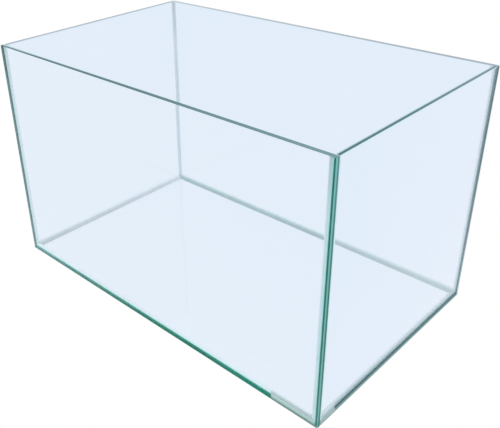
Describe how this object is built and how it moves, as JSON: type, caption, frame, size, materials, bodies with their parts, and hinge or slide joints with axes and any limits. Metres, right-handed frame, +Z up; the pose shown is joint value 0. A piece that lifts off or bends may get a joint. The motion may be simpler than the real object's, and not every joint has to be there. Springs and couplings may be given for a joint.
{
  "type": "aquarium tank",
  "caption": "Open-topped rectangular aquarium tank: rimless glass walls bonded round a flat glass base and sealed with clear silicone.",
  "frame": {"origin": "centre of the underside of the base pane", "axes": "+Z up; X along the length; Y through the depth, with the front long wall at -Y and the right end at +X"},
  "size_m": [0.6, 0.36, 0.36],
  "materials": {
    "glass": "polished clear float glass with ground edges",
    "silicone": "clear, smooth, tooled"
  },
  "bodies": {
    "root": {"base_pane": "glass", "front_pane": "glass", "back_pane": "glass", "left_pane": "glass", "right_pane": "glass", "base_bond_front": "silicone", "base_bond_back": "silicone", "base_bond_left": "silicone", "base_bond_right": "silicone", "corner_bond_front_left": "silicone", "corner_bond_front_right": "silicone", "corner_bond_back_left": "silicone", "corner_bond_back_right": "silicone", "base_seal_front": "silicone", "base_seal_back": "silicone", "base_seal_left": "silicone", "base_seal_right": "silicone", "corner_seal_front_left": "silicone", "corner_seal_front_right": "silicone", "corner_seal_back_left": "silicone", "corner_seal_back_right": "silicone"}
  },
  "joints": []
}
